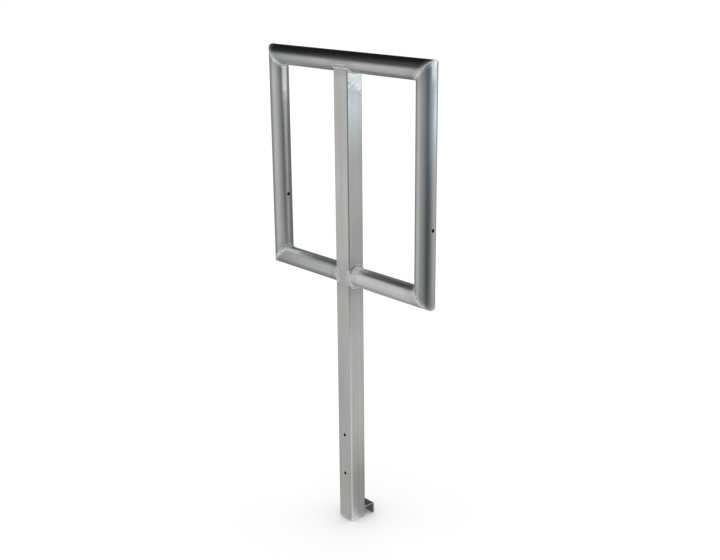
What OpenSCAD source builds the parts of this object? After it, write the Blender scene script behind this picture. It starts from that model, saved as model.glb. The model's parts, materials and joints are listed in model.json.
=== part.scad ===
// Window frame of round tube, welded on a square post with a hook at its foot.
// +X runs along the frame's width, -Y is the front, +Z is up.
// The origin is the middle of the post's foot face.

/* [Round tube] */
// Outside diameter of the frame's tube
tube_d = 50; // [46:1:50]
// Wall of the frame's tube
tube_wall = 3; // [2:0.5:4]

/* [Frame] */
// Width between the side tubes' centrelines
frame_w = 532; // [400:1:800]
// Height between the bottom and top tubes' centrelines
frame_h = 535; // [400:1:800]
// Height of the bottom tube's centreline above the foot
frame_z = 692; // [450:1:900]

/* [Post] */
// Side of the square post
post_side = 50; // [50:1:54]
// Wall of the post
post_wall = 3; // [2:0.5:3]
// Outside radius of the post's corners
post_corner = 4; // [3.5:0.5:6]
// How far below the top tube's centreline the front and back walls end
cope_drop = 12; // [11:0.5:14]

/* [Foot] */
// Thickness of the plate that closes the foot
foot_t = 4; // [3:0.5:6]
// How far the dressed seam stands proud of the post
seam_rise = 0.4; // [0.2:0.1:0.6]
// Height of the dressed seam
seam_h = 6; // [3:0.5:6]

/* [Holes] */
// Diameter of the two bolt holes through the post
bolt_d = 9; // [7:0.5:13]
// Height of the lower bolt hole above the foot
bolt_low = 136.5; // [60:0.5:200]
// Distance between the two bolt holes
bolt_pitch = 113; // [60:1:200]
// Diameter of the cross hole in each side tube
link_d = 9; // [7:0.5:13]
// Height of the cross holes above the bottom tube's centreline
link_up = 170.5; // [80:0.5:300]

/* [Hook] */
// How far the hook reaches back from the post
hook_reach = 32; // [24:1:50]
// Outside height of the hook's hanging leg
hook_h = 32; // [24:1:50]
// Thickness of the hook's metal
hook_t = 4; // [3:0.5:5]
// Inside radius of the hook's bend
hook_inner_bend = 1; // [0.5:0.5:4]
// Height of the hook's top face above the foot
hook_top = 28; // [20:0.5:60]

/* [Welds] */
// Width of the bead round a mitre
mitre_w = 7; // [4:0.5:10]
// How far a bead stands proud
bead_rise = 1.2; // [0.6:0.1:2]
// Leg of a fillet bead
fillet = 4.5; // [3:0.5:6]
// Radius of the run that fills the groove over the post's front and back walls
groove_r = 3.5; // [3:0.5:4.5]
// Leg of the bracket's fillet beads
hook_fillet = 3.5; // [2:0.5:5]

/* [Hidden] */
$fn = 96;
tube_r = tube_d / 2;
bore_r = tube_r - tube_wall;
top_z = frame_z + frame_h;
post_half = post_side / 2;
link_z = frame_z + link_up;
cope_z = top_z - cope_drop;
hook_outer_bend = hook_inner_bend + hook_t;
hook_weld_inset = 2; // the bracket's beads stop this short of its ends
half_size = 3 * tube_r; // reach of the blocks that cut a mitre
past = 2; // how far a cutter runs past what it cuts
left = -1;
right = 1;
down = -1;
up = 1;

// ---- shapes that several pieces share ----

// A round bar along X from x0 to x1.
module rod_x(x0, x1, r) {
    translate([x0, 0, 0]) rotate([0, 90, 0]) cylinder(h = x1 - x0, r = r);
}

// A round bar along Z from z0 to z1.
module rod_z(z0, z1, r) {
    translate([0, 0, z0]) cylinder(h = z1 - z0, r = r);
}

// A square with round corners.
module rounded_square(side, r) {
    flat = side - 2 * r;
    square([side, flat], center = true);
    square([flat, side], center = true);
    for (x = [-1, 1], y = [-1, 1]) translate([x * flat / 2, y * flat / 2]) circle(r);
}

// Moves a shape to one corner of the frame. In the shape's own axes the
// horizontal tube runs towards -X and the upright one towards -Z.
module at_corner(side, level) {
    translate([side * frame_w / 2, 0, level == up ? top_z : frame_z])
        mirror([side == left ? 1 : 0, 0, 0]) mirror([0, 0, level == down ? 1 : 0]) children();
}

// The layer of the given thickness beside the mitre plane, on the horizontal tube's side.
module beside_mitre_flat(thickness) {
    rotate([0, -45, 0]) translate([-half_size, -half_size, 0])
        cube([2 * half_size, 2 * half_size, thickness]);
}

// The same on the upright tube's side.
module beside_mitre_upright(thickness) {
    rotate([0, 135, 0]) translate([-half_size, -half_size, 0])
        cube([2 * half_size, 2 * half_size, thickness]);
}

// The outside of the post as a solid bar, from the foot to the cope.
module post_bar(grow = 0) {
    translate([0, 0, foot_t]) linear_extrude(cope_z - foot_t)
        rounded_square(post_side + 2 * grow, post_corner + grow);
}

// A cone-shaped fillet round a tube that leaves the plane x = post_half towards +X.
module ring_fillet() {
    translate([post_half, 0, 0]) rotate([0, 90, 0])
        cylinder(h = fillet, r1 = tube_r + fillet, r2 = tube_r + bead_rise / 2);
}

// ---- cut metal pieces ----

module post() color("silver") difference() {
    post_bar();
    translate([0, 0, foot_t - past]) linear_extrude(top_z)
        rounded_square(post_side - 2 * post_wall, post_corner - post_wall);
    translate([0, 0, top_z]) rod_x(-post_side, post_side, tube_r);
    for (i = [0, 1]) translate([0, 0, bolt_low + i * bolt_pitch]) rotate([90, 0, 0])
        cylinder(h = post_side + 2 * past, d = bolt_d, center = true);
}

module foot_plate() color("silver")
    linear_extrude(foot_t) rounded_square(post_side, post_corner);

// One leg of the hook's outline: a block whose top outer corner is round.
module hook_block(reach, height, r) {
    square([reach - r, height]);
    square([reach, height - r]);
    translate([reach - r, height - r]) circle(r);
}

module hook_bracket() color("dimgray")
    translate([-post_half, post_half, hook_top - hook_h])
        rotate([90, 0, 90]) linear_extrude(post_side) difference() {
            hook_block(hook_reach, hook_h, hook_outer_bend);
            translate([-past, -past])
                hook_block(hook_reach - hook_t + past, hook_h - hook_t + past, hook_inner_bend);
        }

module top_tube() color("silver") difference() {
    translate([0, 0, top_z]) difference() {
        rod_x(-frame_w / 2 - tube_r, frame_w / 2 + tube_r, tube_r);
        rod_x(-frame_w / 2 - tube_d, frame_w / 2 + tube_d, bore_r);
    }
    for (side = [left, right]) at_corner(side, up) beside_mitre_upright(half_size);
}

module side_tube(side) color("silver") difference() {
    translate([side * frame_w / 2, 0, 0]) difference() {
        rod_z(frame_z - tube_r, top_z + tube_r, tube_r);
        rod_z(frame_z - tube_d, top_z + tube_d, bore_r);
        translate([0, 0, link_z]) rod_x(-tube_r - past, tube_r + past, link_d / 2);
    }
    for (level = [down, up]) at_corner(side, level) beside_mitre_flat(half_size);
}

module bottom_tube(side) color("silver") difference() {
    translate([0, 0, frame_z]) mirror([side == left ? 1 : 0, 0, 0]) difference() {
        rod_x(post_half, frame_w / 2 + tube_r, tube_r);
        rod_x(post_half - past, frame_w / 2 + tube_d, bore_r);
    }
    at_corner(side, down) beside_mitre_upright(half_size);
}

// ---- welds ----

// A raised band that follows the joint line of a mitre.
module mitre_weld(side, level) color("gainsboro") at_corner(side, level) {
    difference() {
        intersection() {
            beside_mitre_flat(mitre_w / 2);
            rod_x(-half_size, half_size, tube_r + bead_rise);
        }
        rod_x(-half_size, half_size, tube_r);
    }
    difference() {
        intersection() {
            beside_mitre_upright(mitre_w / 2);
            rod_z(-half_size, half_size, tube_r + bead_rise);
        }
        rod_z(-half_size, half_size, tube_r);
    }
}

// The bead where a bottom tube meets the post. Beside the post's round
// corners it also fills the gap under the end of the tube.
module post_side_weld(side) color("gainsboro") mirror([side == left ? 1 : 0, 0, 0]) difference() {
    translate([0, 0, frame_z]) difference() {
        intersection() {
            union() {
                ring_fillet();
                rod_x(post_half - post_corner, post_half, tube_r + fillet);
            }
            cube([post_side + 4 * fillet, post_side + 2 * bead_rise, 4 * tube_r], center = true);
        }
        rod_x(post_half, post_side, tube_r);
        rod_x(0, post_side, bore_r);
    }
    post_bar();
}

// The bead round the top of the post: one run in the groove over the front
// and back walls, and one saddle on each side face.
module weld_post_top() color("gainsboro") difference() {
    union() {
        intersection() {
            for (y = [-1, 1]) translate([0, y * (post_half - post_wall), cope_z + groove_r / 2])
                rod_x(-post_side, post_side, groove_r);
            translate([0, 0, cope_z - fillet]) linear_extrude(2 * tube_r)
                rounded_square(post_side + 2 * bead_rise, post_corner + bead_rise);
        }
        intersection() {
            translate([0, 0, top_z]) {
                ring_fillet();
                mirror([1, 0, 0]) ring_fillet();
            }
            translate([0, 0, cope_z - tube_r + groove_r])
                cube([2 * post_side, post_side + 2 * bead_rise, 2 * tube_r], center = true);
        }
    }
    translate([0, 0, top_z]) rod_x(-post_side, post_side, tube_r);
    post_bar();
}

// A quarter-round bead along the bracket's leg, above it (1) or below it (-1).
module hook_weld(level) color("gainsboro") {
    leg_z = level == up ? hook_top : hook_top - hook_t;
    translate([-post_half + hook_weld_inset, post_half, leg_z]) mirror([0, 0, level == down ? 1 : 0])
        rotate([90, 0, 90]) linear_extrude(post_side - 2 * hook_weld_inset) intersection() {
            circle(hook_fillet);
            square(hook_fillet);
        }
}

// The seam between the post and the foot plate, dressed almost flush.
module weld_foot() color("gainsboro")
    translate([0, 0, foot_t - seam_h / 2]) linear_extrude(seam_h) difference() {
        rounded_square(post_side + 2 * seam_rise, post_corner + seam_rise);
        rounded_square(post_side, post_corner);
    }

post();
foot_plate();
hook_bracket();
top_tube();
side_tube(left);  // side_tube_left
side_tube(right);  // side_tube_right
bottom_tube(left);  // bottom_tube_left
bottom_tube(right);  // bottom_tube_right
mitre_weld(left, up);  // weld_top_left
mitre_weld(right, up);  // weld_top_right
mitre_weld(left, down);  // weld_bottom_left
mitre_weld(right, down);  // weld_bottom_right
weld_post_top();
post_side_weld(left);  // weld_post_left
post_side_weld(right);  // weld_post_right
hook_weld(up);  // weld_hook_upper
hook_weld(down);  // weld_hook_lower
weld_foot();
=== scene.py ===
# %% [markdown]
# # A welded tube frame on a post
# The object is one welded piece of metalwork: a square window frame of round tube on a square
# post, with a small hook at the foot. Every piece is plain stock, so its looks come from three
# things: true tube walls with clean mitres, weld beads that read as real metal, and a satin
# finish that shows the studio in long soft bands.

# %% Load the fixed frame
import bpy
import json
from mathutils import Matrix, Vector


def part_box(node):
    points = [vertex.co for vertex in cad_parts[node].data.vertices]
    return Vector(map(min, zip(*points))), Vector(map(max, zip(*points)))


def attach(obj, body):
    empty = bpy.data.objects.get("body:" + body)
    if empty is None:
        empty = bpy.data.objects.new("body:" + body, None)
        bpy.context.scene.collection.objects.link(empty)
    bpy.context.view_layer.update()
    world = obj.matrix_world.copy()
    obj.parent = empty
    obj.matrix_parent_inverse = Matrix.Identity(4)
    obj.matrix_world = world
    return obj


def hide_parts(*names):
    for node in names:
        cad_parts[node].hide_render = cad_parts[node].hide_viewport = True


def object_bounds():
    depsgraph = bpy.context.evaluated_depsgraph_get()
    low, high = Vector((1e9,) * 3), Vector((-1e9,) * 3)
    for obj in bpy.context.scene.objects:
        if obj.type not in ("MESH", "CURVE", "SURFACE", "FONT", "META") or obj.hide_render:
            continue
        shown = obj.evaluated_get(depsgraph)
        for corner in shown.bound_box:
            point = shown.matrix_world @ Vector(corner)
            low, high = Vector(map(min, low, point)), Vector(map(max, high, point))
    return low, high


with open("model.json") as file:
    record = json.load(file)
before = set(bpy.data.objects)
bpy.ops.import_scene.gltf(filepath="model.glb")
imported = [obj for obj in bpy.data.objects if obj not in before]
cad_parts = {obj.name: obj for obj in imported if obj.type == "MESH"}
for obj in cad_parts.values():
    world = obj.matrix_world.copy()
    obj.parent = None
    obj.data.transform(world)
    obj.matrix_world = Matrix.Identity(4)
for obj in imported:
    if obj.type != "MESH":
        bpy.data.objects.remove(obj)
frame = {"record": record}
cad_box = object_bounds()
print("frame box:", [list(corner) for corner in cad_box])

# %% Libraries
import json
import math
import bpy
import bmesh
import numpy as np
from mathutils import Matrix, Vector

MM = 0.001

# %% [markdown]
# ## Sizes
# Nothing is measured twice. The tubes' radius and centrelines come from the frame's own boxes,
# and the holes come from its mounts. Only the walls of the stock and the thickness of the
# bracket are stated here, because a box can't show them.

# %% Read the sizes from the frame
TOP_LOW, TOP_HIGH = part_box("top_tube")
POST_LOW, POST_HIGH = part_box("post")
HOOK_LOW, HOOK_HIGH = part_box("hook_bracket")
LEG_LOW, LEG_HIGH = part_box("bottom_tube_right")
TUBE_R = (TOP_HIGH.z - TOP_LOW.z) / 2
TOP_Z = (TOP_HIGH.z + TOP_LOW.z) / 2
BOTTOM_Z = (LEG_HIGH.z + LEG_LOW.z) / 2
HALF_W = TOP_HIGH.x - TUBE_R
POST_HALF = POST_HIGH.x
COPE_Z = POST_HIGH.z
FOOT_TOP = POST_LOW.z
WALL = 3 * MM
POST_CORNER = 4 * MM
HOOK_T = 4 * MM
MOUNTS = {mount["name"]: mount for mount in frame["record"]["mounts"]}
LINK_Z = MOUNTS["link_hole_right"]["pos_m"][2]
LINK_R = MOUNTS["link_hole_right"]["dims"]["r_mm"] * MM
BOLT_R = MOUNTS["post_bolts"]["dims"]["hole_r_mm"] * MM
BOLT_PITCH = MOUNTS["post_bolts"]["dims"]["spacing_y_mm"] * MM
BOLT_Z = [MOUNTS["post_bolts"]["pos_m"][2] + sign * BOLT_PITCH / 2 for sign in (-1, 1)]
print(f"tube radius {TUBE_R:.4f}, half width {HALF_W:.4f}, top {TOP_Z:.4f}, bottom {BOTTOM_Z:.4f}")
print(f"cope at {COPE_Z:.4f}, link holes at {LINK_Z:.4f}, bolts at {BOLT_Z}")

# %% [markdown]
# ## Shader maths as Python
# A material is a small program. Wrapping a socket in a class lets that program be written as
# arithmetic: `frost * 0.4 + 0.2` adds its two Math nodes by itself. Every other node comes from
# one method, so a finish reads as a list of what it is made of.

# %% A socket that takes part in arithmetic
class Wire:
    """One output of a material's nodes."""

    def __init__(self, tree, socket):
        self.tree = tree
        self.socket = socket

    def node(self, kind, settings=None, sockets=None, output=0):
        """Adds a node: its settings first, then the values or wires of its sockets."""
        made = self.tree.nodes.new(kind)
        for key, value in (settings or {}).items():
            if key == "stops":
                for element, (position, shade) in zip(stops_of(made, len(value)), value):
                    element.position = position
                    element.color = (shade, shade, shade, 1)
            else:
                setattr(made, key, value)
        for key, value in (sockets or {}).items():
            target = made.inputs[key] if isinstance(key, int) else socket_named(made.inputs, key)
            if isinstance(value, Wire):
                self.tree.links.new(value.socket, target)
            else:
                target.default_value = value
        found = made.outputs[output] if isinstance(output, int) else socket_named(made.outputs, output)
        return Wire(self.tree, found)

    def math(self, operation, *others):
        return self.node("ShaderNodeMath", {"operation": operation}, dict(enumerate((self,) + others)))

    def __add__(self, other):
        return self.math("ADD", other)

    def __sub__(self, other):
        return self.math("SUBTRACT", other)

    def __rsub__(self, other):
        return self.node("ShaderNodeMath", {"operation": "SUBTRACT"}, {0: other, 1: self})

    def __mul__(self, other):
        return self.math("MULTIPLY", other)

    def __truediv__(self, other):
        return self.math("DIVIDE", other)

    __radd__ = __add__
    __rmul__ = __mul__

    def __abs__(self):
        return self.math("ABSOLUTE")

    def stretched(self, x, y, z):
        """A vector wire with its axes scaled, which draws a pattern out along the small ones."""
        return self.node("ShaderNodeVectorMath", {"operation": "MULTIPLY"}, {0: self, 1: (x, y, z)})

    def noise(self, scale, detail=2.0, roughness=0.5):
        """Cloudy noise from 0 to 1 over a vector wire."""
        return self.node("ShaderNodeTexNoise", {},
                         {"Vector": self, "Scale": scale, "Detail": detail, "Roughness": roughness},
                         "Fac")

    def fade(self, start, end, low=0.0, high=1.0):
        """Runs smoothly from low to high as this wire goes from start to end."""
        return self.node("ShaderNodeMapRange", {"interpolation_type": "SMOOTHSTEP"},
                         {"Value": self, "From Min": start, "From Max": end,
                          "To Min": low, "To Max": high}, "Result")

    def tint(self, dark, light):
        """A colour between two, by this wire."""
        return self.node("ShaderNodeMix", {"data_type": "RGBA"},
                         {"Factor": self, "A": (*dark, 1), "B": (*light, 1)}, "Result")


def stops_of(ramp, count):
    elements = ramp.color_ramp.elements
    while len(elements) < count:
        elements.new(1.0)
    return elements


def socket_named(sockets, name):
    return next(s for s in sockets if s.enabled and name in (s.name, s.identifier))


# %% A new metal, ready for its colour, roughness and grain
SURFACE_IOR = 1.45


def start_metal(name):
    """An empty metal finish: the material, its shader node and the place on the piece."""
    material = bpy.data.materials.new(name)
    material.use_nodes = True
    tree = material.node_tree
    shader = tree.nodes["Principled BSDF"]
    shader.inputs["Metallic"].default_value = 1.0
    shader.inputs["IOR"].default_value = SURFACE_IOR
    coordinates = tree.nodes.new("ShaderNodeTexCoord")
    return material, shader, Wire(tree, coordinates.outputs["Object"])


def finish_metal(material, shader, colour, roughness, height, depth):
    """Wires colour and roughness into the shader, and height, in units of depth, as grain."""
    tree = material.node_tree
    tree.links.new(colour.socket, shader.inputs["Base Color"])
    tree.links.new(roughness.socket, shader.inputs["Roughness"])
    bump = height.node("ShaderNodeBump", {}, {"Strength": 1.0, "Distance": depth, "Height": height})
    tree.links.new(bump.socket, shader.inputs["Normal"])
    print(f"finish {material.name}: {len(tree.nodes)} nodes")
    return material


def axes_of(place):
    """The x, y and z of a place, as three wires."""
    split = place.node("ShaderNodeSeparateXYZ", {}, {"Vector": place})
    return [Wire(place.tree, split.socket.node.outputs[i]) for i in range(3)]


# %% [markdown]
# ## Satin tube and post
# Drawn and extruded tube leaves the die with fine lines along its length and soft cloudy
# patches where it was handled. The lines are noise stretched almost flat along the tube, so
# one function serves both directions. Round each weld the heat and the wire brush leave a
# frosted band with strokes that run beside the joint, and a thin grey bloom outside it. The
# distance to the weld is plain arithmetic on the place, so the bands sit exactly on the joints.

# %% Distances to the welds
CORNER_REACH = 5 * MM
SADDLE_ROUNDING = 0.9


def beyond(*gaps):
    """The straight distance to a joint, from how far a place is past it each way."""
    squares = [gap.math("MAXIMUM", 0.0).math("POWER", 2.0) for gap in gaps]
    return sum(squares[1:], squares[0]).math("SQRT")


def mitre_distance(place):
    """Metres from the nearest mitre plane of the frame's four corners."""
    x, y, z = axes_of(place)
    outward = abs(x) - HALF_W
    top = abs(outward - (z - TOP_Z)) * math.sqrt(0.5)
    bottom = abs(outward + (z - BOTTOM_Z)) * math.sqrt(0.5)
    return top.math("MINIMUM", bottom)


def tube_weld_distance(place):
    """Metres from the nearest weld, anywhere on the frame's round tubes."""
    x, y, z = axes_of(place)
    beside_post = abs(x) - POST_HALF
    under_top = beyond(beside_post, z - COPE_Z, BOTTOM_Z + 4 * TUBE_R - z)
    at_bottom = beyond(beside_post, z - (BOTTOM_Z + 2 * TUBE_R))
    return mitre_distance(place).math("MINIMUM", under_top.math("MINIMUM", at_bottom))


def post_weld_distance(place):
    """Metres from the nearest weld on the square post."""
    x, y, z = axes_of(place)
    ring = ((z - BOTTOM_Z) * (z - BOTTOM_Z) + y * y).math("SQRT")
    ring = beyond(abs(ring - TUBE_R), POST_HALF - CORNER_REACH - abs(x))
    cope = (TOP_Z - z) - (TUBE_R * TUBE_R - y * y * SADDLE_ROUNDING).math("SQRT")
    cope = cope.math("MAXIMUM", 0.0)
    return ring.math("MINIMUM", cope)


# %% The satin finish
FROST_FADE = (6 * MM, 13 * MM)
BLOOM_IN = (8 * MM, 13 * MM)
BLOOM_OUT = (15 * MM, 32 * MM)
FROST_WANDER = 9 * MM
STROKE_WANDER = 8 * MM
STROKE_LENGTH = (0.18, 0.18, 0.18)
TOE_LINE_AT = 6 * MM
TOE_LINE_WANDER = 4 * MM
TOE_LINE_EDGE = (0.7 * MM, 1.6 * MM)
FROST_DULLNESS = 0.06
SATIN_GRAIN = 0.06 * MM


def shades_of(tone, dark, light, ceiling):
    """A darker and a lighter shade of one tone, the lighter no brighter than the ceiling."""
    darker = tuple(channel * dark for channel in tone)
    lighter = tuple(min(channel * light, ceiling) for channel in tone)
    return darker, lighter


def satin_metal(name, along, distance_to_weld, tone, streak_seed, brushing_and_highlight=None):
    """Satin aluminium with its die lines along one axis: 0 is X and 2 is Z.

    The last argument gives a patch of brushing, some of it painted lighter as a highlight: where it
    is, its strokes and its dullness.
    """
    material, shader, place = start_metal(name)
    drawn = [1.0, 1.0, 1.0]
    drawn[along] = 0.004
    shifted = place.node("ShaderNodeVectorMath", {"operation": "ADD"},
                         {0: place, 1: (streak_seed, streak_seed * 0.7, streak_seed * 1.3)})
    lines = shifted.stretched(*drawn).noise(1500.0, detail=4.0, roughness=0.65)
    bands = shifted.stretched(*drawn).noise(210.0, detail=3.0)
    drawn[along] = 0.06
    patches = shifted.stretched(*drawn).noise(38.0, detail=3.0)
    clouds = shifted.noise(9.0, detail=3.0)
    scuffs = shifted.stretched(1, 1, 0.35).noise(420.0, detail=5.0, roughness=0.7).fade(0.66, 0.76)
    distance = distance_to_weld(place)
    ragged = distance + (shifted.noise(140.0) - 0.5) * FROST_WANDER
    frost = 1 - ragged.fade(*FROST_FADE)
    bloom = ragged.fade(*BLOOM_IN) * (1 - ragged.fade(*BLOOM_OUT))
    strokes = place.node("ShaderNodeTexNoise", {"noise_dimensions": "4D"},
                         {"Vector": shifted.stretched(*STROKE_LENGTH),
                          "W": distance + clouds * STROKE_WANDER,
                          "Scale": 330.0, "Detail": 4.0, "Roughness": 0.7}, "Fac")
    toe_line = distance + (clouds - 0.5) * TOE_LINE_WANDER - TOE_LINE_AT
    toe_line = 1 - abs(toe_line).fade(*TOE_LINE_EDGE)
    toe_line = toe_line * shifted.noise(70.0).fade(0.35, 0.50)
    brushed = (strokes * frost).math("MAXIMUM", toe_line * 0.8)
    metallic = 1 - frost * FROST_DULLNESS
    if brushing_and_highlight:
        patch, patch_strokes, dullness = brushing_and_highlight(shifted, place)
        # The patch lightens the colour, as brushing and as a painted highlight.
        brushed = brushed.math("MAXIMUM", patch * patch_strokes)
        frost = frost.math("MAXIMUM", patch)
        metallic = 1 - frost * FROST_DULLNESS - patch * dullness
    shade = bands * 0.42 + patches * 0.40 + clouds * 0.3 + lines * 0.18 - scuffs * 0.12 - bloom * 0.10
    drawn_colour = shade.fade(0.28, 0.95).tint(*shades_of(tone, 0.80, 1.16, 1.0))
    brushed_colour = brushed.fade(0.36, 0.64).tint(*shades_of(tone, 0.66, 1.40, 0.96))
    colour = frost.node("ShaderNodeMix", {"data_type": "RGBA"},
                        {"Factor": frost * 0.9, "A": drawn_colour, "B": brushed_colour}, "Result")
    roughness = (0.225 + bands * 0.07 + patches * 0.06 + clouds * 0.05 + lines * 0.05
                 + frost * 0.05 + bloom * 0.04 + scuffs * 0.10)
    material.node_tree.links.new(metallic.socket, shader.inputs["Metallic"])
    height = lines * 0.30 + bands * 0.55 + patches * 0.5 + brushed * 1.6
    return finish_metal(material, shader, colour, roughness, height, SATIN_GRAIN)


# %% Brushing and painted highlights on the post, the rails and the uprights
FOOT_BAND = (9.5 * MM, 12 * MM)
# The post's patch below the cope is a painted highlight.
POST_HIGHLIGHT_SPAN = (COPE_Z - 100 * MM, COPE_Z - 30 * MM)
POST_STROKE_TILT = math.radians(-24)
RAIL_PATCH_BY_POST = (POST_HALF + 18 * MM, POST_HALF + 55 * MM)
# By the left mitre the rail's top carries a painted sheen.
RAIL_SHEEN_BY_MITRE = (100 * MM, 200 * MM)
RAIL_DULLNESS = 0.46
# The uprights' patches below the mitres are a painted highlight.
UPRIGHT_HIGHLIGHT_SPAN = (TOP_Z - 145 * MM, TOP_Z - 35 * MM)
UPRIGHT_HIGHLIGHT_LEAN = 0.17
UPRIGHT_HIGHLIGHT_DULLNESS = 0.34


def post_highlight_and_ground_band(shifted, place):
    """Slanting brush strokes below the post's top weld, painted light on the side faces as a
    highlight, and a ground band round its foot.
    """
    x, y, z = axes_of(place)
    ragged = z + (shifted.noise(60.0) - 0.5) * 50 * MM + y * 0.5
    on_side = abs(x).fade(POST_HALF - 3 * MM, POST_HALF - 0.5 * MM) * 0.9
    # Painted highlight: the side faces below the cope are made lighter.
    patch = ragged.fade(*POST_HIGHLIGHT_SPAN) * on_side
    tilted = place.node("ShaderNodeVectorRotate", {"rotation_type": "X_AXIS"},
                        {"Vector": shifted, "Angle": POST_STROKE_TILT})
    slanting = tilted.stretched(1, 0.05, 1).noise(150.0, detail=4.0, roughness=0.7) * 0.75 + 0.32
    band = 1 - (z + (shifted.noise(90.0) - 0.5) * 3 * MM).fade(*FOOT_BAND)
    level = shifted.stretched(0.03, 0.03, 1).noise(330.0, detail=3.0, roughness=0.6) * 0.6 + 0.36
    return patch.math("MAXIMUM", band * 0.8), slanting * (1 - band) + level * band, 0.0


def rail_brushing_and_sheen(shifted, place):
    """Hand brushing on top of the bottom rails right of the post, and a painted sheen on top by the
    left mitre.
    """
    x, y, z = axes_of(place)
    ragged = x + (shifted.noise(45.0) - 0.5) * 40 * MM
    by_post = x.fade(0.0, 5 * MM) * (1 - ragged.fade(*RAIL_PATCH_BY_POST))
    # Painted sheen: by the left mitre the rail's top is lighter and less metallic.
    sheen_by_mitre = (ragged * -1).fade(*RAIL_SHEEN_BY_MITRE) * (1 - y.fade(-9 * MM, -4 * MM))
    on_top = (z - BOTTOM_Z).fade(10 * MM, 20 * MM) * (1 - z.fade(0.80, 0.85))
    worn = shifted.noise(260.0, detail=3.0, roughness=0.6) * 0.7 + 0.18
    return by_post.math("MAXIMUM", sheen_by_mitre) * on_top, worn, RAIL_DULLNESS


def upright_painted_highlight(shifted, place):
    """A painted highlight with lengthwise strokes on the uprights' sides below the top mitres, lower
    on the left.
    """
    x, y, z = axes_of(place)
    # Painted highlight: a lighter, less metallic band on the uprights' sides.
    ragged = z - x * UPRIGHT_HIGHLIGHT_LEAN + (shifted.noise(45.0) - 0.5) * 50 * MM
    near_top = ragged.fade(*UPRIGHT_HIGHLIGHT_SPAN)
    beside = abs(abs(x) - HALF_W).fade(TUBE_R * 0.5, TUBE_R * 0.85)
    across = 1 - abs(y + 2 * MM).fade(5 * MM, 12 * MM)
    worn = shifted.stretched(1, 1, 0.08).noise(420.0, detail=3.0, roughness=0.6) * 0.6 + 0.30
    return near_top * beside * across, worn, UPRIGHT_HIGHLIGHT_DULLNESS


# %% The four satin metals
TUBE_TONE = (0.650, 0.652, 0.648)
# The right bottom rail is the same tube stock, painted lighter to stand in for the brighter light it
# catches.
PAINTED_LIGHTER_TONE = (0.780, 0.782, 0.772)
POST_TONE = (0.665, 0.667, 0.652)
flat_tube_metal = satin_metal("satin_tube_flat", 0, tube_weld_distance, TUBE_TONE, 0.0, rail_brushing_and_sheen)
painted_lighter_rail_metal = satin_metal("satin_tube_bright", 0, tube_weld_distance, PAINTED_LIGHTER_TONE, 5.3,
                                rail_brushing_and_sheen)
upright_tube_metal = satin_metal("satin_tube_upright", 2, tube_weld_distance, TUBE_TONE, 3.1,
                                 upright_painted_highlight)
post_metal = satin_metal("satin_post", 2, post_weld_distance, POST_TONE, 7.7, post_highlight_and_ground_band)

# %% [markdown]
# ## Weld metal and bracket plate
# A fresh bead is brighter than the tube it joins and finely crinkled between its ripples. The
# ripples themselves are modelled, so the finish only adds the crinkle. The beads at the top are
# left bright, and the lower ones are brushed over. The bracket is bent
# from dull mill plate: darker, rougher, with paler sawn ends where the saw cut through.

# %% Weld metal
WELD_GRAIN = 0.16 * MM


def weld_metal(name, dark, light, metallic):
    """Bead metal between two shades, with a crinkled skin."""
    material, shader, place = start_metal(name)
    crinkle = place.noise(1900.0, detail=3.0)
    drops = place.noise(320.0, detail=2.0)
    colour = (drops * 0.7 + crinkle * 0.3).fade(0.35, 0.6).tint(dark, light)
    roughness = 0.20 + drops * 0.24 + crinkle * 0.08
    shader.inputs["Metallic"].default_value = metallic
    return finish_metal(material, shader, colour, roughness, crinkle * 0.6 + drops, WELD_GRAIN)


# %% Bracket plate
PLATE_DARK = (0.15, 0.15, 0.147)
PLATE_SAWN = (0.62, 0.62, 0.61)


def plate_metal():
    """Dull mill plate, paler and finely scored where the saw cut it."""
    material, shader, place = start_metal("dull_plate")
    x, y, z = axes_of(place)
    mill = place.stretched(0.05, 1, 1).noise(700.0, detail=3.0)
    stain = place.noise(90.0, detail=4.0, roughness=0.6)
    saw = place.stretched(1, 1, 0.08).noise(1600.0, detail=2.0)
    sawn = abs(x).fade(POST_HALF - 0.5 * MM, POST_HALF - 0.3 * MM)
    shade = (stain * 0.6 + mill * 0.4).fade(0.3, 0.75) * (1 - sawn) * 0.5 + sawn
    colour = shade.tint(PLATE_DARK, PLATE_SAWN)
    roughness = 0.40 + stain * 0.14 - sawn * 0.08 + saw * sawn * 0.10
    height = mill * 0.5 + stain * 0.6 + saw * sawn * 1.2
    return finish_metal(material, shader, colour, roughness, height, SATIN_GRAIN)


bright_bead_metal = weld_metal("bright_weld", (0.52, 0.53, 0.54), (0.97, 0.97, 0.97), 0.75)
brushed_bead_metal = weld_metal("brushed_weld", (0.58, 0.58, 0.58), (0.84, 0.84, 0.84), 0.92)
bracket_metal = plate_metal()

# %% [markdown]
# ## From points to a piece
# Each piece below is a closed mesh made from rows of points. This helper gives it smooth
# faces with crisp corners, lets it ride on the frame's one body, and hides the CAD solids it
# stands for, so the finer mesh shows in their place.

# %% Make a piece
MERGE = 0.002 * MM
SHARP = 40
SHARP_BEAD = 75


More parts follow.
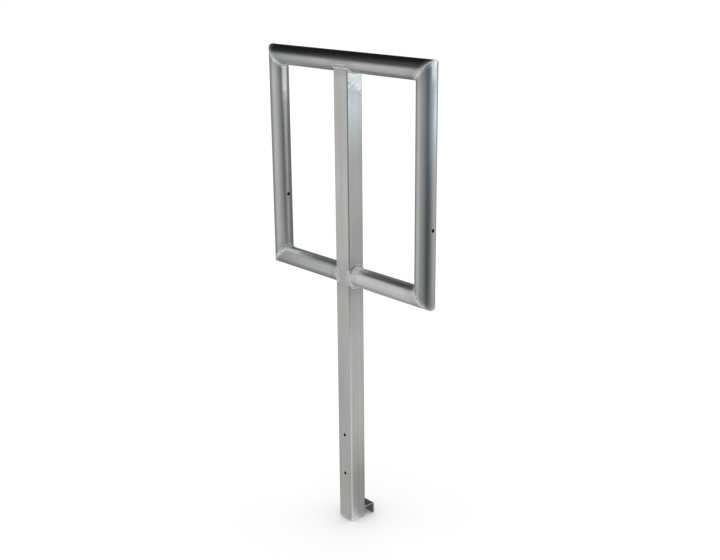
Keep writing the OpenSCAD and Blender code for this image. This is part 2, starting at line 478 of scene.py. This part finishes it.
def make_piece(name, points, faces, finish, slot, *nodes, sharp=SHARP):
    """A closed mesh from points and faces, standing in for the CAD nodes named last."""
    mesh = bpy.data.meshes.new(name)
    mesh.from_pydata([tuple(p) for p in points], [], faces)
    mesh.validate()
    shape = bmesh.new()
    shape.from_mesh(mesh)
    bmesh.ops.remove_doubles(shape, verts=shape.verts, dist=MERGE)
    bmesh.ops.recalc_face_normals(shape, faces=shape.faces)
    open_edges = sum(not edge.is_manifold for edge in shape.edges)
    shape.to_mesh(mesh)
    shape.free()
    mesh.materials.append(finish)
    mesh.shade_smooth()
    mesh.set_sharp_from_angle(angle=math.radians(sharp))
    piece = bpy.data.objects.new(name, mesh)
    bpy.context.scene.collection.objects.link(piece)
    weigh = piece.modifiers.new("flat faces stay flat", "WEIGHTED_NORMAL")
    weigh.keep_sharp = True
    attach(piece, "root")
    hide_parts(*nodes)
    print(f"{name}: {len(mesh.polygons)} faces, {open_edges} open edges")
    return piece


# %% [markdown]
# ## Tube walls with true holes
# A tube is an outer skin and an inner skin, joined at the ends. Both are grids of points over
# two numbers: how far round, and how far along. Drilled holes are the hard part, because a
# boolean cut leaves slivers that catch the light on a shiny curve. So each hole gets a window
# in the grid, and rings of points walk from the window's square edge to the hole's round rim,
# over a small deburred lip and through the wall to the other skin.

# %% Cross-sections
class RoundTube:
    """A round tube along X or Z. Round is an angle: 0 at the front, growing to +Z or +X."""

    def __init__(self, along, centre, radius):
        self.along = along
        self.centre = centre
        self.radius = radius
        self.scale = radius

    def point(self, turn, along, depth):
        rho = self.radius - depth
        if self.along == "x":
            return (along, -rho * math.cos(turn), self.centre + rho * math.sin(turn))
        return (self.centre + rho * math.sin(turn), -rho * math.cos(turn), along)

    def turn_for(self, offset, depth):
        return math.asin(offset / (self.radius - depth))


class SquareTube:
    """The square post. Round is a distance along the outline, from the left face's back edge."""

    def __init__(self, half, corner):
        self.half = half
        self.corner = corner
        self.flat = 2 * (half - corner)
        self.side = self.flat + corner * math.pi / 2
        self.scale = 1.0

    def outline(self, turn, depth):
        side = min(int(turn / self.side + 1e-9), 3)
        run = turn - side * self.side
        angle = math.pi + side * math.pi / 2
        out = np.array([math.cos(angle), math.sin(angle)])
        forward = np.array([-math.sin(angle), math.cos(angle)])
        if run <= self.flat:
            return out * (self.half - depth) + forward * (run - self.flat / 2)
        bend = angle + (run - self.flat) / self.corner
        centre = (out + forward) * (self.half - self.corner)
        return centre + (self.corner - depth) * np.array([math.cos(bend), math.sin(bend)])

    def point(self, turn, along, depth):
        x, y = self.outline(turn, depth)
        return (x, y, along)

    def turn_for(self, offset, depth):
        return offset


# %% Grid lines with windows
def lines_between(low, high, step, centres=(), half=0.0, cells=6):
    """Grid lines from low to high, with evenly divided windows of +-half at the centres."""
    lines = []
    start = low
    for centre in sorted(centres):
        lines += spread(start, centre - half, step)[:-1]
        lines += list(np.linspace(centre - half, centre + half, cells + 1))[:-1]
        start = centre + half
    return lines + spread(start, high, step)


def spread(low, high, step):
    return list(np.linspace(low, high, max(1, round((high - low) / step)) + 1))


# %% The wall builder
LIP = 0.35 * MM


def rim_path(radius):
    """The radius and depth of each ring through a drilled wall, with a rounded lip at both ends."""
    bends = [math.radians(a) for a in (0, 30, 60, 90)]
    outer = [(radius + LIP * (1 - math.sin(a)), LIP * (1 - math.cos(a))) for a in bends]
    inner = [(r, WALL - depth) for r, depth in reversed(outer)]
    return outer + inner


def tube_wall(section, turns, alongs, first, last, holes=(), window=0.0):
    """Points and faces of a tube. first and last give where it ends at each turn and depth."""
    points, faces = [], []
    round_count, row_count = len(turns), len(alongs) + 2

    def index(layer, row, column):
        return (layer * row_count + row) * round_count + column % round_count

    for depth in (0.0, WALL):
        points += [section.point(t, first(t, depth), depth) for t in turns]
        points += [section.point(t, along, depth) for along in alongs for t in turns]
        points += [section.point(t, last(t, depth), depth) for t in turns]

    windows = []
    for turn, along, radius in holes:
        reach = window / section.scale
        columns = [i for i, t in enumerate(turns) if abs(t - turn) < reach * 1.001]
        rows = [i + 1 for i, a in enumerate(alongs) if abs(a - along) < window * 1.001]
        windows.append((columns[0], columns[-1], rows[0], rows[-1]))
    for layer in (0, 1):
        for row in range(row_count - 1):
            for column in range(round_count):
                if any(a <= column < b and c <= row < d for a, b, c, d in windows):
                    continue
                faces.append([index(layer, row, column), index(layer, row, column + 1),
                              index(layer, row + 1, column + 1), index(layer, row + 1, column)])
    for row in (0, row_count - 1):
        for column in range(round_count):
            faces.append([index(0, row, column), index(0, row, column + 1),
                          index(1, row, column + 1), index(1, row, column)])

    for (turn, along, radius), (left, right, low, high) in zip(holes, windows):
        edge = [(low, c) for c in range(left, right)] + [(r, right) for r in range(low, high)]
        edge += [(high, c) for c in range(right, left, -1)] + [(r, left) for r in range(high, low, -1)]
        rings = [[index(0, r, c) for r, c in edge]]

        def add_ring(share, rim, depth):
            ring = []
            for r, c in edge:
                t, a = turns[c], alongs[r - 1]
                angle = math.atan2(a - along, (t - turn) * section.scale)
                t_rim = turn + section.turn_for(rim * math.cos(angle), depth)
                a_rim = along + rim * math.sin(angle)
                ring.append(len(points))
                points.append(section.point(t + (t_rim - t) * share, a + (a_rim - a) * share, depth))
            rings.append(ring)

        path = rim_path(radius)
        for share in (0.35, 0.7, 0.9):
            add_ring(share, path[0][0], 0.0)
        for rim, depth in path:
            add_ring(1.0, rim, depth)
        for share in (0.9, 0.7, 0.35):
            add_ring(share, path[0][0], WALL)
        rings.append([index(1, r, c) for r, c in edge])
        for ring, following in zip(rings, rings[1:]):
            for i in range(len(ring)):
                j = (i + 1) % len(ring)
                faces.append([ring[i], ring[j], following[j], following[i]])
    return points, faces


# %% [markdown]
# ## The frame's five tubes
# The top and side tubes are cut at 45 degrees, and each cut is a flat plane through the round
# wall. That makes every end point simple: it lies as far beyond the corner's centre as it
# stands off the tube's own centreline. The bottom rail is two lengths, square against the post.

# %% Round tubes
AROUND = 144
STEP = 2 * math.pi / AROUND
START = -math.pi / 4
HOLE_WINDOW = 9 * MM
HOLE_CELLS = 16
ROW_STEP = 60 * MM


def rail(name, node, centre, low, high, finish=flat_tube_metal):
    section = RoundTube("x", centre, TUBE_R)
    turns = spread(START, START + 2 * math.pi, STEP)[:-1]
    alongs = spread(max(low(0, 0), TUBE_R - HALF_W), min(high(0, 0), HALF_W - TUBE_R), ROW_STEP)[1:-1]
    points, faces = tube_wall(section, turns, alongs, low, high)
    make_piece(name, points, faces, finish, "tube_metal", node)


def mitred(side, level, turn, depth):
    """Where a rail's wall meets the mitre: higher points reach further out at the top."""
    return side * (HALF_W + level * (TUBE_R - depth) * math.sin(turn))


rail("top_rail", "top_tube", TOP_Z,
     lambda t, d: mitred(-1, 1, t, d), lambda t, d: mitred(1, 1, t, d))
rail("bottom_rail_right", "bottom_tube_right", BOTTOM_Z,
     lambda t, d: POST_HALF, lambda t, d: mitred(1, -1, t, d), painted_lighter_rail_metal)
rail("bottom_rail_left", "bottom_tube_left", BOTTOM_Z,
     lambda t, d: mitred(-1, -1, t, d), lambda t, d: -POST_HALF)


# %% Upright tubes, with a hole through both walls
def upright(name, node, side):
    section = RoundTube("z", side * HALF_W, TUBE_R)
    facings = (math.pi / 2, 3 * math.pi / 2)
    turns = lines_between(START, START + 2 * math.pi, STEP, facings, HOLE_WINDOW / TUBE_R,
                          HOLE_CELLS)[:-1]
    alongs = lines_between(BOTTOM_Z + TUBE_R, TOP_Z - TUBE_R, ROW_STEP, [LINK_Z], HOLE_WINDOW,
                           HOLE_CELLS)
    holes = [(facing, LINK_Z, LINK_R) for facing in facings]
    points, faces = tube_wall(section, turns, alongs[1:-1],
                              lambda t, d: BOTTOM_Z - side * (TUBE_R - d) * math.sin(t),
                              lambda t, d: TOP_Z + side * (TUBE_R - d) * math.sin(t),
                              holes, HOLE_WINDOW)
    make_piece(name, points, faces, upright_tube_metal, "tube_metal", node)


upright("upright_left", "side_tube_left", -1)
upright("upright_right", "side_tube_right", 1)

# %% [markdown]
# ## The post
# The post is the same kind of wall round a square outline with rounded corners. Its top is a
# saddle: the side walls follow the underside of the top rail, and the front and back walls
# stop short in a straight cut that the weld then fills.


# %% Square post
def post_top(turn, depth):
    y = POST.outline(turn, depth)[1]
    under_rail = TOP_Z - math.sqrt(max(TUBE_R ** 2 - y ** 2, 0.0))
    return min(under_rail, COPE_Z)


POST = SquareTube(POST_HALF, POST_CORNER)
DRILLED_STEP = 2 * MM
PLAIN_STEP = 1.2 * MM
CORNER_STEP = POST_CORNER * math.radians(9)
turns = []
for side in range(4):
    begin = side * POST.side
    middle = begin + POST.flat / 2
    if side % 2:
        turns += lines_between(begin, begin + POST.flat, DRILLED_STEP, [middle],
                               HOLE_WINDOW, HOLE_CELLS)[:-1]
    else:
        turns += spread(begin, begin + POST.flat, PLAIN_STEP)[:-1]
    turns += spread(begin + POST.flat, begin + POST.side, CORNER_STEP)[:-1]
faces_drilled = [POST.side + POST.flat / 2, 3 * POST.side + POST.flat / 2]
post_holes = [(turn, z, BOLT_R) for turn in faces_drilled for z in BOLT_Z]
alongs = lines_between(FOOT_TOP, TOP_Z - TUBE_R - 5 * MM, ROW_STEP, BOLT_Z, HOLE_WINDOW, HOLE_CELLS)
points, faces = tube_wall(POST, turns, alongs[1:], lambda t, d: FOOT_TOP, post_top,
                          post_holes, HOLE_WINDOW)
make_piece("post_tube", points, faces, post_metal, "post_metal", "post")

# %% [markdown]
# ## Foot plate and hook
# A small plate closes the foot. The hook is a length of bent plate: its top leg is welded to
# the post's back and its far leg hangs down. Both are outlines pushed out to a thickness, and
# a fine bevel eases every cut edge, because a razor-sharp edge never catches the light.


# %% Pushed-out outlines
BEVEL_ABOVE = math.radians(50)
FOOT_EASE = 0.5 * MM
HOOK_EASE = 0.4 * MM


def pushed_out(name, outline, place, low, high, ease, finish, slot, node):
    """A closed outline of 2D points, pushed from low to high. place turns (u, v, w) into x, y, z."""
    count = len(outline)
    points = [place(u, v, w) for w in (low, high) for u, v in outline]
    faces = [[i, (i + 1) % count, count + (i + 1) % count, count + i] for i in range(count)]
    faces += [list(range(count)), list(range(count, 2 * count))]
    piece = make_piece(name, points, faces, finish, slot, node)
    bevel = piece.modifiers.new("eased edges", "BEVEL")
    bevel.width = ease
    bevel.segments = 3
    bevel.limit_method = "ANGLE"
    bevel.angle_limit = BEVEL_ABOVE
    bevel.harden_normals = True
    while piece.modifiers[0] != bevel:
        piece.modifiers.move(len(piece.modifiers) - 1, 0)
    return piece


def corner_arc(u, v, radius, start, end, count=8):
    """Points on an arc about (u, v), angles in degrees."""
    angles = np.radians(np.linspace(start, end, count + 1))
    return [(u + radius * math.cos(a), v + radius * math.sin(a)) for a in angles]


# %% Foot plate
inset = POST_HALF - POST_CORNER
foot_outline = []
for quarter in range(4):
    a = math.radians(90 * quarter + 45)
    u, v = math.copysign(inset, math.cos(a)), math.copysign(inset, math.sin(a))
    foot_outline += corner_arc(u, v, POST_CORNER, 90 * quarter, 90 * quarter + 90)
pushed_out("foot_cap", foot_outline, lambda u, v, w: (u, v, w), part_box("foot_plate")[0].z, FOOT_TOP,
           FOOT_EASE, post_metal, "post_metal", "foot_plate")

# %% Hook bracket
HOOK_BEND = 1 * MM
back, far = HOOK_LOW.y, HOOK_HIGH.y
low, high = HOOK_LOW.z, HOOK_HIGH.z
outer_bend = HOOK_BEND + HOOK_T
hook_outline = [(back, high - HOOK_T), (back, high)]
hook_outline += corner_arc(far - outer_bend, high - outer_bend, outer_bend, 90, 0)
hook_outline += [(far, low), (far - HOOK_T, low)]
hook_outline += corner_arc(far - outer_bend, high - outer_bend, HOOK_BEND, 0, 90)
pushed_out("hook", hook_outline, lambda u, v, w: (w, u, v), HOOK_LOW.x, HOOK_HIGH.x,
           HOOK_EASE, bracket_metal, "bracket_metal", "hook_bracket")

# %% [markdown]
# ## Weld beads
# A hand-laid bead is a row of overlapping puddles. Each one freezes as a crescent, so the
# bead has rounded ripples with sharp valleys between them, bowed towards its middle. The
# builder below walks along a joint. At every station it knows the two toes, where the bead
# ends on each side, the root between them, and the way out of the metal. In a hollow corner
# the bead bridges from toe to toe. Over a sharp corner it follows the metal and rounds it off.

# %% The bead builder
RIPPLE = 2.3 * MM
RIPPLE_VALLEY = 0.78
RIPPLE_HEIGHT = 0.30
RIPPLE_BOW = 0.8
SINK = 0.5 * MM
ACROSS = 12
TAPER = 2 * MM
STATIONS = 360


def unit(rows):
    return rows / np.linalg.norm(rows, axis=1, keepdims=True)


def bead(name, toe_a, toe_b, root, out_a, out_b, bridge, rise, node, closed=True, phase=0.0,
         finish=brushed_bead_metal):
    """A rippled bead. Arguments are arrays with one row for each station along the joint."""
    count = len(root)
    out = unit(out_a + out_b)
    steps = np.linalg.norm(np.diff(root, axis=0, append=root[:1]), axis=1)
    run = np.concatenate([[0.0], np.cumsum(steps)[:-1]])
    length = steps.sum() if closed else run[-1]
    ripples = max(1, round(length / RIPPLE))
    beat = run / length
    swell = 1 + 0.10 * np.sin(2 * math.pi * (3 * beat + phase)) + 0.06 * np.sin(2 * math.pi * 7 * beat)
    taper = np.ones(count)
    if not closed:
        taper = np.sqrt(np.clip(np.minimum(run, length - run) / TAPER, 0.0, 1.0))
    points = []
    for share in np.linspace(0, 1, ACROSS + 1):
        near = abs(2 * share - 1)
        hump = math.sqrt(max(1 - near ** 2, 0.0))
        side = toe_a if share < 0.5 else toe_b
        bent = root + (side - root) * near
        chord = toe_a + (toe_b - toe_a) * share
        base = bent + (chord - bent) * bridge[:, None]
        puddle = np.abs(np.sin(math.pi * (ripples * beat - RIPPLE_BOW * near ** 2))) ** 0.7
        lift = rise * swell * hump * (RIPPLE_VALLEY + RIPPLE_HEIGHT * puddle) * taper
        lift = lift - (1 - taper) * SINK
        points.append(base + out * lift[:, None])
    for toe, away in ((toe_b, out_b), (root, out), (toe_a, out_a)):
        points.append(toe - unit(away) * SINK)
    loops = len(points)
    flat_points = np.stack(points, axis=1).reshape(-1, 3)
    faces = []
    for i in range(count if closed else count - 1):
        j = (i + 1) % count
        for k in range(loops):
            m = (k + 1) % loops
            faces.append([i * loops + k, i * loops + m, j * loops + m, j * loops + k])
    if not closed:
        faces += [list(range(loops)), [(count - 1) * loops + k for k in range(loops)]]
    make_piece(name, flat_points, faces, finish, "weld_metal", node, sharp=SHARP_BEAD)


# %% [markdown]
# ### Mitre beads
# The joint of two equal round tubes at 45 degrees is a flat ellipse. Each toe is a step from
# it across one tube's own surface, pulled back on to that surface. Inside the corner the bead
# bridges the hollow, and at the outer point it wraps the sharp edge.

# %% Four mitre beads
MITRE_HALF = 3.2 * MM
MITRE_RISE = 1.15 * MM


def mitre_bead(name, node, side, level):
    centre = np.array([side * HALF_W, 0.0, TOP_Z if level > 0 else BOTTOM_Z])
    flip = np.array([side, 1.0, level])
    angle = np.linspace(0, 2 * math.pi, STATIONS, endpoint=False)
    s, c = np.sin(angle), np.cos(angle)
    nothing = np.zeros_like(angle)
    root = TUBE_R * np.stack([c, s, c], axis=1)
    along = unit(np.stack([-s, c, -s], axis=1))
    out_flat = np.stack([nothing, s, c], axis=1)
    out_upright = np.stack([c, s, nothing], axis=1)
    toe_flat = root + MITRE_HALF * np.cross(out_flat, along)
    toe_upright = root - MITRE_HALF * np.cross(out_upright, along)
    toe_flat[:, 1:] *= TUBE_R / np.linalg.norm(toe_flat[:, 1:], axis=1, keepdims=True)
    toe_upright[:, :2] *= TUBE_R / np.linalg.norm(toe_upright[:, :2], axis=1, keepdims=True)
    bridge = 0.62 - 0.38 * c
    bead(name, centre + toe_flat * flip, centre + toe_upright * flip, centre + root * flip,
         out_flat * flip, out_upright * flip, bridge, MITRE_RISE, node,
         phase=0.2 * side + 0.1 * level, finish=bright_bead_metal)


mitre_bead("bead_top_left", "weld_top_left", -1, 1)
mitre_bead("bead_top_right", "weld_top_right", 1, 1)
mitre_bead("bead_bottom_left", "weld_bottom_left", -1, -1)
mitre_bead("bead_bottom_right", "weld_bottom_right", 1, -1)

# %% [markdown]
# ### Beads between the bottom rails and the post
# The rail is as wide as the post, so at the front and back its end hangs over the post's
# rounded corner. The bead is a ring drawn on the post's unrolled surface: where the ring runs
# past the flat face it wraps round the corner and fills the gap.


# %% Two ring beads
RING_TOE = 5.0 * MM
RING_RISE = 1.15 * MM
RING_BRIDGE = 0.9


def ring_bead(name, node, side):
    angle = np.linspace(0, 2 * math.pi, STATIONS, endpoint=False)
    s, c = np.sin(angle), np.cos(angle)
    ones = np.ones_like(angle)
    middle = 2 * POST.side + POST.flat / 2
    toe_tube = np.stack([ones * (POST_HALF + RING_TOE * 0.9), TUBE_R * s, TUBE_R * c], axis=1)
    root = np.stack([ones * POST_HALF, TUBE_R * s, TUBE_R * c], axis=1)
    toe_post, out_post = [], []
    for sn, cs in zip(s, c):
        turn = middle + (TUBE_R + RING_TOE) * sn
        x, y = POST.outline(turn, 0.0)
        inner_x, inner_y = POST.outline(turn, 1 * MM)
        toe_post.append((x, y, (TUBE_R + RING_TOE) * cs))
        out_post.append((x - inner_x, y - inner_y, 0.0))
    toe_post, out_post = np.array(toe_post), unit(np.array(out_post))
    out_tube = np.stack([0 * ones, s, c], axis=1)
    root[:, 0] -= (1 - np.abs(c)) * POST_CORNER * 0.35
    flip = np.array([side, 1.0, 1.0])
    lift = np.array([0.0, 0.0, BOTTOM_Z])
    bead(name, toe_tube * flip + lift, toe_post * flip + lift, root * flip + lift,
         out_tube * flip, out_post * flip, ones * RING_BRIDGE, RING_RISE, node, phase=0.35 * side)


ring_bead("bead_post_left", "weld_post_left", -1)
ring_bead("bead_post_right", "weld_post_right", 1)

# %% [markdown]
# ### The bead round the top of the post
# Unroll the rail's underside and the joint is a rounded rectangle. One toe is the same
# rectangle drawn a little larger on the rail, and the other is the post's outline, a little
# below the cut. Extra metal is left at the corners, where the welder stops and starts again.


# %% One saddle bead
def rounded_rectangle(half_x, half_s, radius, flat_steps, bend_steps):
    """Points round a rectangle with round corners, with the same count on every size."""
    loop = []
    for quarter in range(4):
        base = math.radians(90 * quarter)
        half, other = (half_x, half_s) if quarter % 2 == 0 else (half_s, half_x)
        for i in range(flat_steps):
            slide = (2 * i / flat_steps - 1) * (other - radius)
            loop.append((half * math.cos(base) - slide * math.sin(base),
                         half * math.sin(base) + slide * math.cos(base)))
        for i in range(bend_steps):
            a = base + math.pi / 2 * i / bend_steps
            cx = math.copysign(half_x - radius, math.cos(base + math.pi / 4))
            cs = math.copysign(half_s - radius, math.sin(base + math.pi / 4))
            loop.append((cx + radius * math.cos(a), cs + radius * math.sin(a)))
    return np.array(loop)


def on_rail(loop):
    """Points of an unrolled rectangle, laid on the underside of the top rail."""
    turn = loop[:, 1] / TUBE_R
    return np.stack([loop[:, 0], TUBE_R * np.sin(turn), TOP_Z - TUBE_R * np.cos(turn)], axis=1)


SADDLE_TOE = 3.8 * MM
SADDLE_RISE = 1.0 * MM
SADDLE_BRIDGE = 0.92
cut_turn = math.acos((TOP_Z - COPE_Z) / TUBE_R)
joint_half = TUBE_R * cut_turn
flat_steps, bend_steps = 90, 12
upper = on_rail(rounded_rectangle(POST_HALF + SADDLE_TOE, joint_half + SADDLE_TOE,
                                  POST_CORNER + SADDLE_TOE, flat_steps, bend_steps))
joint = on_rail(rounded_rectangle(POST_HALF, joint_half, POST_CORNER, flat_steps, bend_steps))
outline = rounded_rectangle(POST_HALF, POST_HALF, POST_CORNER, flat_steps, bend_steps)
cut_z = np.minimum(TOP_Z - np.sqrt(np.maximum(TUBE_R ** 2 - outline[:, 1] ** 2, 0.0)), COPE_Z)
lower = np.stack([outline[:, 0], outline[:, 1], cut_z - SADDLE_TOE * 0.8], axis=1)
rail_out = np.stack([0 * upper[:, 0], upper[:, 1], upper[:, 2] - TOP_Z], axis=1)
post_out = np.stack([np.where(np.abs(outline[:, 0]) > inset, outline[:, 0], 0.0),
                     np.where(np.abs(outline[:, 1]) > inset, outline[:, 1], 0.0),
                     0 * cut_z], axis=1)
bead("bead_post_top", upper, lower, joint, unit(rail_out), unit(post_out),
     np.ones(len(joint)) * SADDLE_BRIDGE, SADDLE_RISE, "weld_post_top", finish=bright_bead_metal)


# %% [markdown]
# ### Straight beads on the hook
# Two short runs hold the bracket's leg, one above and one below. They start and stop, so
# their ends taper into the plate.


# %% Two hook beads
HOOK_TOE = 3.3 * MM
HOOK_RISE = 0.8 * MM
HOOK_STATIONS = 110


def hook_bead(name, node, level):
    box_low, box_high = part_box(node)
    x = np.linspace(box_low.x, box_high.x, HOOK_STATIONS)
    face = box_low.z if level > 0 else box_high.z
    ones = np.ones_like(x)
    root = np.stack([x, ones * POST_HALF, ones * face], axis=1)
    toe_post = root + [0, 0, level * HOOK_TOE]
    toe_plate = root + [0, HOOK_TOE, 0]
    out_post = np.stack([0 * x, ones, 0 * x], axis=1)
    out_plate = np.stack([0 * x, 0 * x, level * ones], axis=1)
    bead(name, toe_post, toe_plate, root, out_post, out_plate, ones, HOOK_RISE, node, closed=False)


hook_bead("bead_hook_upper", "weld_hook_upper", 1)
hook_bead("bead_hook_lower", "weld_hook_lower", -1)


# %% [markdown]
# ### The dressed seam at the foot
# The foot's weld is ground back until it is almost flush, so it is a low swelling round the
# post, a fraction of a millimetre high, with edges that wander a little.


# %% Foot seam
def foot_seam():
    seam_low, seam_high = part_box("weld_foot")
    middle = (seam_low.z + seam_high.z) / 2
    half = (seam_high.z - seam_low.z) / 2
    rise = seam_high.x - POST_HALF
    stations = rounded_rectangle(POST_HALF, POST_HALF, POST_CORNER, 40, 10)
    count = len(stations)
    turn = np.linspace(0, 2 * math.pi, count, endpoint=False)
    wander = 0.5 * MM * np.sin(5 * turn) + 0.35 * MM * np.sin(13 * turn + 1.0)
    ring_out = unit(stations - np.clip(stations, -inset, inset))
    rows = []
    for share in np.linspace(-1, 1, 9):
        lift = rise * 0.9 * (1 - share ** 2) ** 1.5 - 0.05 * MM
        z = middle + share * half * 0.98 + wander * (1 - abs(share)) * 0.5
        rows.append(np.column_stack([stations + ring_out * lift, z]))
    for share in (1, -1):
        z = np.full(count, middle + share * half * 0.98)
        rows.append(np.column_stack([stations - ring_out * SINK, z]))
    loops = len(rows)
    ring = np.stack(rows, axis=1).reshape(-1, 3)
    faces = [[i * loops + k, i * loops + (k + 1) % loops,
              (i + 1) % count * loops + (k + 1) % loops, (i + 1) % count * loops + k]
             for i in range(count) for k in range(loops)]
    make_piece("foot_seam", ring, faces, post_metal, "weld_metal", "weld_foot", sharp=SHARP_BEAD)


foot_seam()

# %% [markdown]
# ## Studio
# Bright metal shows whatever stands round it, so the studio is built for its reflections. A
# round light tent stands close about the piece, seen by the metal only. Its wall is bright on
# the front left and the back right, and dark to the right of the camera, but only above knee
# height. Its glow ends just above the top rail, so what faces up there stays black. Because
# the tent is close, each tube sees it from its own place, as it would in a real one.

# %% Floor
def stage_mesh(name, points, faces, finish):
    mesh = bpy.data.meshes.new(name)
    mesh.from_pydata(points, [], faces)
    mesh.materials.append(finish)
    placed = bpy.data.objects.new(name, mesh)
    bpy.context.scene.collection.objects.link(placed)
    return placed


FLOOR_Z = min(cad_box[0].z, 0.0) - 0.2 * MM
FLOOR_REACH = 60
floor_paint = bpy.data.materials.new("pale_floor")
floor_paint.use_nodes = True
floor_shader = floor_paint.node_tree.nodes["Principled BSDF"]
floor_shader.inputs["Base Color"].default_value = (0.93, 0.93, 0.93, 1)
floor_shader.inputs["Roughness"].default_value = 0.9
floor_shader.inputs["Specular IOR Level"].default_value = 0.0
corners = ((-1, -1), (1, -1), (1, 1), (-1, 1))
square = [(x * FLOOR_REACH, y * FLOOR_REACH, FLOOR_Z) for x, y in corners]
floor = stage_mesh("floor", square, [[0, 1, 2, 3]], floor_paint)
floor.visible_glossy = False


# %% The tent's glow
def glow_paint(name, level_of):
    """A material that only gives light, as level_of says for each place on it."""
    material = bpy.data.materials.new(name)
    material.use_nodes = True
    tree = material.node_tree
    tree.nodes.clear()
    output = tree.nodes.new("ShaderNodeOutputMaterial")
    place = Wire(tree, tree.nodes.new("ShaderNodeTexCoord").outputs["Object"])
    colour = level_of(place)
    glow = colour.node("ShaderNodeEmission", {}, {"Color": colour, "Strength": 1.0})
    tree.links.new(glow.socket, output.inputs["Surface"])
    return material


WALL_GLOW = {-180: 0.28, -165: 0.33, -151: 0.52, -141: 0.74, -125: 0.60, -101: 0.65, -74: 0.43,
             -48: 0.32, -33: 0.18, -18: 0.06, -5: 0.09, 9: 0.26, 22: 0.45, 40: 0.62, 60: 0.46,
             97: 0.34, 137: 0.36, 180: 0.28}
TENT_R = 0.65
TENT_TOP = 1.365
TENT_ROOF = 3.0
SKY_GLOW = 0.012


def tent_glow(place):
    """The tent's light at each place, by its angle round the piece and its height."""
    x, y, z = axes_of(place)
    angle = y.math("ARCTAN2", x)
    turn = angle / (2 * math.pi) + 0.5
    stops = [((degrees + 180) / 360, level) for degrees, level in WALL_GLOW.items()]
    side = turn.node("ShaderNodeValToRGB", {"stops": stops}, {"Fac": turn}, "Color")
    knee = 1 - z.fade(0.26, 0.46)
    front = angle.fade(-1.4, -0.9) * (1 - angle.fade(0.15, 0.6))
    low_front = knee * front
    level = side * (1 - low_front) + low_front * 1.05
    near_foot = 1 - (x * x + y * y).math("SQRT").fade(0.20, 0.60)
    level = level * (z * 0.17 + 0.79) * (1 - near_foot * 0.10)
    back_right = 1 - abs(angle - 0.70).fade(0.3, 0.7)
    low_back = 0.30 - z.fade(0.30, 0.50) * 0.26 - near_foot * 0.42
    level = level * (1 + back_right * low_back)
    strip = (1 - abs(angle - 0.67).fade(0.05, 0.18)) * z.fade(0.94, 1.01) * 0.42
    wash = (1 - abs(angle - 0.2).fade(0.25, 0.6)) * z.fade(0.88, 1.02) * 0.22
    spot = (1 - abs(angle - 0.62).fade(0.08, 0.25)) * z.fade(1.01, 1.09) * 0.5
    lamp = strip + wash + spot
    behind = abs(angle - 2.5).fade(0.85, 1.2, 1.0, 0.0) * z.fade(0.92, 1.02)
    level = level * (1 - behind * 0.35)
    sky = 1 - z.fade(TENT_TOP - 170 * MM, TENT_TOP + 75 * MM)
    high = (1 - abs(angle + 2.15).fade(0.1, 0.6)) * 0.08
    light = (level + lamp) * sky + high + SKY_GLOW
    cool = (1 - side.fade(0.1, 0.5)) * 0.12
    cool = cool + (1 - abs(angle).fade(0.6, 1.1)) * z.fade(0.80, 1.00) * 0.18
    return light.node("ShaderNodeCombineXYZ", {},
                      {"X": light, "Y": light * (cool * 0.6 + 1), "Z": light * (cool + 1)})


# %% The tent
SEGMENTS = 96
spokes = [2 * math.pi * i / SEGMENTS for i in range(SEGMENTS)]
tent_points = [(TENT_R * math.cos(a), TENT_R * math.sin(a), z) for z in (FLOOR_Z, TENT_ROOF)
               for a in spokes]
tent_faces = [[i, (i + 1) % SEGMENTS, SEGMENTS + (i + 1) % SEGMENTS, SEGMENTS + i]
              for i in range(SEGMENTS)]
tent_faces += [list(range(SEGMENTS)), list(range(SEGMENTS, 2 * SEGMENTS))]
tent = stage_mesh("light_tent", tent_points, tent_faces, glow_paint("tent_glow", tent_glow))


# %% A grey card behind the left half
def card_glow(place):
    return place.node("ShaderNodeCombineXYZ", {}, {"X": 0.20, "Y": 0.20, "Z": 0.21})


CARD_Y = 0.25
card_points = [(x, CARD_Y, z) for x, z in ((-0.60, 0.0), (0.07, 0.0), (0.07, 1.1), (-0.60, 1.1))]
card = stage_mesh("grey_card", card_points, [[0, 1, 2, 3]], glow_paint("card_glow", card_glow))

# %% Tent and card are seen in reflections only
for panel in (tent, card):
    panel.visible_camera = False
    panel.visible_diffuse = False
    panel.visible_shadow = False
    panel.visible_transmission = False

# %% Even light on the floor
world = bpy.data.worlds.new("studio")
bpy.context.scene.world = world
world.use_nodes = True
background = world.node_tree.nodes["Background"]
background.inputs["Color"].default_value = (1, 1, 1, 1)
background.inputs["Strength"].default_value = 1.12
world.cycles_visibility.glossy = False
bpy.context.scene.view_settings.view_transform = "Standard"

# %% [markdown]
# ## Camera
# A normal lens, a little above the piece and round to its right, with the same slight tilt
# that a hand-held or tripod camera leaves.

# %% Place the camera
AIM = Vector((0.0203, 0.0163, 0.6779))
AZIMUTH, ELEVATION, ROLL = (math.radians(a) for a in (47.74, 17.66, -0.49))
DISTANCE = 2.715
LENS = 53.2
SENSOR = 36.0
away = Vector((math.sin(AZIMUTH) * math.cos(ELEVATION), -math.cos(AZIMUTH) * math.cos(ELEVATION),
               math.sin(ELEVATION)))
camera_data = bpy.data.cameras.new("camera")
camera_data.lens = LENS
camera_data.sensor_width = SENSOR
camera_data.clip_end = 200.0
camera = bpy.data.objects.new("camera", camera_data)
bpy.context.scene.collection.objects.link(camera)
camera.location = AIM + away * DISTANCE
turned = (-away).to_track_quat("-Z", "Y").to_matrix() @ Matrix.Rotation(ROLL, 3, "Z")
camera.rotation_euler = turned.to_euler()
bpy.context.scene.camera = camera
print("camera at", [round(v, 4) for v in camera.location])
